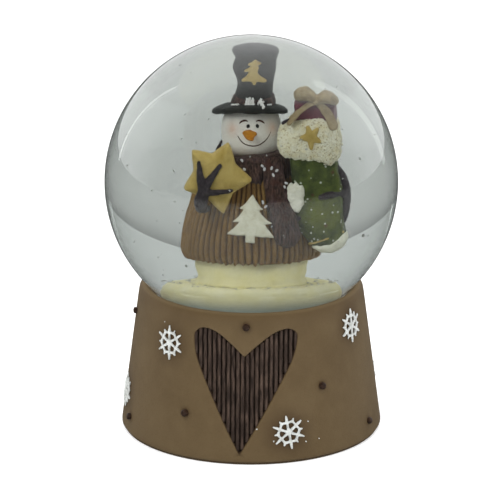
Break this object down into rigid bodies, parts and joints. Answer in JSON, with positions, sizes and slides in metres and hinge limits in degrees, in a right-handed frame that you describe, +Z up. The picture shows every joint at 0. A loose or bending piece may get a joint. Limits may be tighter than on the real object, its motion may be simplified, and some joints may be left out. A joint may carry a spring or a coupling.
{
  "type": "snow globe",
  "caption": "Water-filled glass globe with a dressed snow figure on a tapered cast base with a ribbed heart panel, and a wind-up music movement inside.",
  "frame": {"origin": "middle of the base's foot, on the surface it stands on", "axes": "+Z up through the middle of the globe; the snow figure and the heart panel face -Y"},
  "size_m": [0.1, 0.1, 0.136],
  "materials": {
    "cast_resin": "matt painted cast resin",
    "dark_resin": "matt painted cast resin",
    "snow_resin": "matt cream-white painted cast resin",
    "tan_resin": "matt painted cast resin",
    "hat_resin": "matt painted cast resin",
    "carrot_resin": "matt painted cast resin",
    "gold_resin": "matt painted cast resin",
    "twig_resin": "matt painted cast resin",
    "green_resin": "matt painted cast resin",
    "red_resin": "matt painted cast resin",
    "ribbon_resin": "matt painted cast resin",
    "felt": "pressed felt",
    "board": "moulded cover with a fine grain",
    "black_rubber": "moulded rubber",
    "sealant": "cured sealant",
    "globe_glass": "clear blown glass",
    "liquid": "clear liquid",
    "zinc_casting": "die-cast, satin",
    "sheet_steel": "pressed sheet, satin",
    "spring_steel": "blued and ground",
    "screw_steel": "plated",
    "key_steel": "nickel plated",
    "gear_brass": "machined",
    "gear_plastic": "moulded acetal"
  },
  "bodies": {
    "base_and_globe": {"base_housing": "cast_resin", "heart_inlay": "dark_resin", "base_felt_ring": "felt", "bottom_cover": "board", "cover_screws": "screw_steel", "base_snowflakes": "snow_resin", "base_pegs": "dark_resin", "glass_globe": "globe_glass", "neck_sealant": "sealant", "rubber_stopper": "black_rubber", "snow_ground": "snow_resin", "snow_body": "snow_resin", "ribbed_jumper": "tan_resin", "head": "snow_resin", "hat_crown": "hat_resin", "hat_brim": "hat_resin", "hat_band": "dark_resin", "carrot_nose": "carrot_resin", "scarf_wrap": "dark_resin", "scarf_tail": "dark_resin", "jumper_tree": "snow_resin", "hat_tree": "gold_resin", "gold_star": "gold_resin", "left_twig_hand": "twig_resin", "stocking": "green_resin", "stocking_toe": "snow_resin", "stocking_cuff": "snow_resin", "cuff_star": "gold_resin", "gift_box": "red_resin", "gift_bow": "ribbon_resin", "right_twig_hand": "twig_resin", "snow_clump": "snow_resin", "globe_liquid": "liquid", "movement_bedplate": "zinc_casting", "movement_screws": "screw_steel", "spring_housing": "sheet_steel", "mainspring": "spring_steel", "inner_bearing_plate": "sheet_steel", "outer_bearing_plate": "sheet_steel", "governor_stud": "screw_steel", "tone_comb": "spring_steel", "comb_rest": "zinc_casting", "comb_screws": "screw_steel"},
    "winding_parts": {"winding_shaft": "screw_steel", "winding_key": "key_steel", "great_wheel": "gear_brass"},
    "music_cylinder": {"cylinder_arbor": "screw_steel", "cylinder_pinion": "gear_brass", "pinned_cylinder": "gear_brass", "cylinder_gear": "gear_plastic"},
    "governor_gear": {"governor_wheel": "gear_plastic"},
    "air_brake": {"governor_fan": "gear_plastic"}
  },
  "joints": [
    {"name": "key_turn", "type": "hinge", "parent": "base_and_globe", "child": "winding_parts", "pos_m": [-0.009, 0, 0.0045], "axis": [0, 0, 1], "continuous": true},
    {"name": "cylinder_spin", "type": "hinge", "parent": "base_and_globe", "child": "music_cylinder", "pos_m": [0.012, 0, 0.0245], "axis": [1, 0, 0], "continuous": true},
    {"name": "governor_spin", "type": "hinge", "parent": "base_and_globe", "child": "governor_gear", "pos_m": [0.0256, 0.008, 0.0245], "axis": [1, 0, 0], "continuous": true},
    {"name": "air_brake_spin", "type": "hinge", "parent": "base_and_globe", "child": "air_brake", "pos_m": [0.02605, 0.0141, 0.016], "axis": [0, 0, 1], "continuous": true}
  ],
  "couplings": [
    {"joint": "cylinder_spin", "follows": "key_turn", "ratio": 4},
    {"joint": "governor_spin", "follows": "key_turn", "ratio": -12},
    {"joint": "air_brake_spin", "follows": "key_turn", "ratio": 360}
  ]
}
